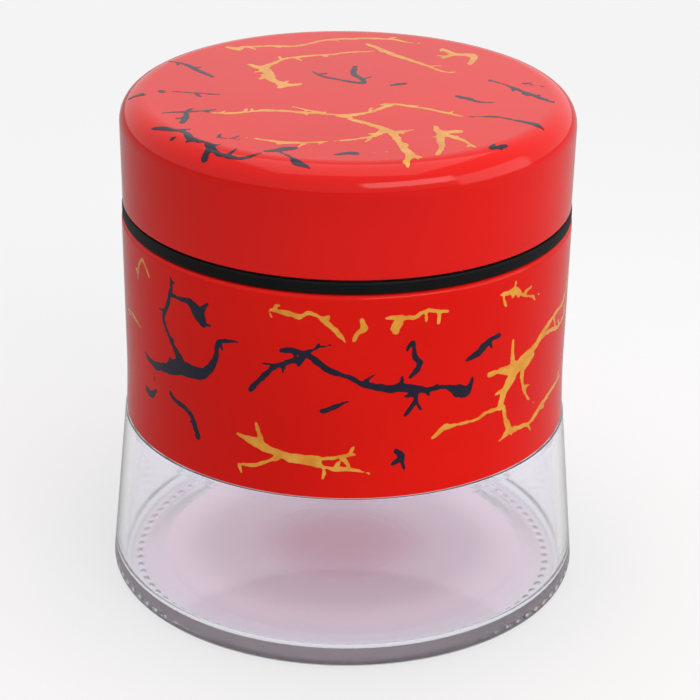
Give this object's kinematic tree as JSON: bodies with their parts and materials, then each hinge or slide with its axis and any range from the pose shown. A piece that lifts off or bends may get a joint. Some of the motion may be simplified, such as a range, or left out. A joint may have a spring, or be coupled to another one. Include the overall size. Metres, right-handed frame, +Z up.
{
  "type": "storage jar",
  "caption": "Round glass storage jar with a flared foot, red metal sleeve, black neck ring and quick-turn red lid.",
  "frame": {"origin": "centre of the foot, on the surface the jar stands on", "axes": "+Z up along the jar's axis of revolution; -Y is the side seen first"},
  "size_m": [0.108, 0.108, 0.1147],
  "materials": {
    "jar_glass": "clear pressed soda glass",
    "sleeve_lacquer": "gloss red lacquer with black and gold crackle print",
    "neck_rubber": "satin black moulded rubber",
    "lid_lacquer": "gloss red lacquer with black and gold crackle print",
    "insert_plastic": "moulded ivory polypropylene",
    "seal_silicone": "translucent silicone"
  },
  "bodies": {
    "jar": {"glass_jar": "jar_glass", "body_sleeve": "sleeve_lacquer", "neck_ring": "neck_rubber"},
    "seal": {"seal_ring": "seal_silicone"},
    "lid": {"lid_shell": "lid_lacquer", "lid_insert": "insert_plastic"}
  },
  "joints": [
    {"name": "lid_rise", "type": "slide", "parent": "jar", "child": "seal", "axis": [0, 0, 1], "range_m": [0, 0.032]},
    {"name": "lid_turn", "type": "hinge", "parent": "seal", "child": "lid", "pos_m": [0, 0, 0.1], "axis": [0, 0, 1], "range_deg": [0, 720]}
  ],
  "couplings": [
    {"joint": "lid_rise", "follows": "lid_turn", "m_per_rad": 0.0025465}
  ]
}
